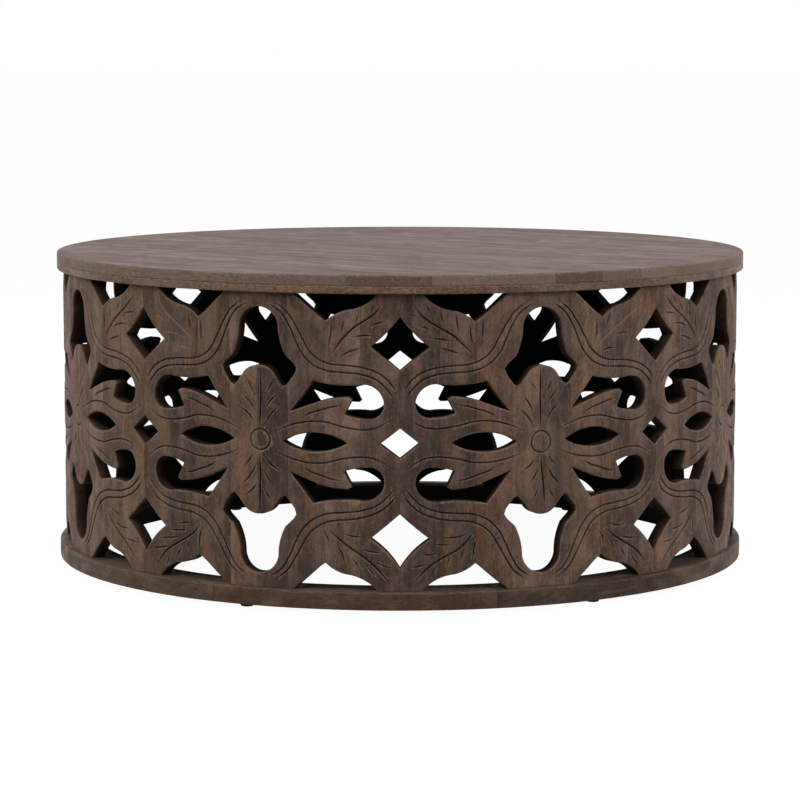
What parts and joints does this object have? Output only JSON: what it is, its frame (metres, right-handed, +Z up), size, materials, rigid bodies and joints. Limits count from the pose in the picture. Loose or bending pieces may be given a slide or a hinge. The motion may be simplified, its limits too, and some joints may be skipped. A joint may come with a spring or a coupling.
{
  "type": "carved drum table",
  "caption": "Round low drum table: a thick boarded wooden top on a cylindrical wall of pierced flower-and-leaf carving, standing on a flat wooden ring with small glides.",
  "frame": {"origin": "on the floor, at the middle of the drum", "axes": "+Z up along the axis of the drum; a seam between two carved panels lies at the front, towards -Y"},
  "size_m": [1, 1, 0.45],
  "materials": {
    "top_wood": "oiled, satin",
    "ring_wood": "oiled, satin",
    "carved_wood": "hand-carved, dull satin, dark stain in the cuts",
    "tenon_wood": "raw",
    "glide_plastic": "matte",
    "nail_steel": "bright"
  },
  "bodies": {
    "root": {"base_ring_1": "ring_wood", "base_ring_2": "ring_wood", "base_ring_3": "ring_wood", "base_ring_4": "ring_wood", "base_ring_5": "ring_wood", "base_ring_6": "ring_wood", "base_ring_7": "ring_wood", "base_ring_8": "ring_wood", "base_tenons": "tenon_wood", "carved_panel_1": "carved_wood", "carved_panel_2": "carved_wood", "carved_panel_3": "carved_wood", "carved_panel_4": "carved_wood", "carved_panel_5": "carved_wood", "carved_panel_6": "carved_wood", "carved_panel_7": "carved_wood", "carved_panel_8": "carved_wood", "glide_nails": "nail_steel", "glides": "glide_plastic", "top_board_01": "top_wood", "top_board_02": "top_wood", "top_board_03": "top_wood", "top_board_04": "top_wood", "top_board_05": "top_wood", "top_board_06": "top_wood", "top_board_07": "top_wood", "top_board_08": "top_wood", "top_board_09": "top_wood", "top_board_10": "top_wood", "top_board_11": "top_wood", "top_board_12": "top_wood", "top_board_13": "top_wood", "top_board_14": "top_wood", "top_board_15": "top_wood", "top_ring_1": "ring_wood", "top_ring_2": "ring_wood", "top_ring_3": "ring_wood", "top_ring_4": "ring_wood", "top_ring_5": "ring_wood", "top_ring_6": "ring_wood", "top_ring_7": "ring_wood", "top_ring_8": "ring_wood", "top_tenons": "tenon_wood"}
  },
  "joints": []
}
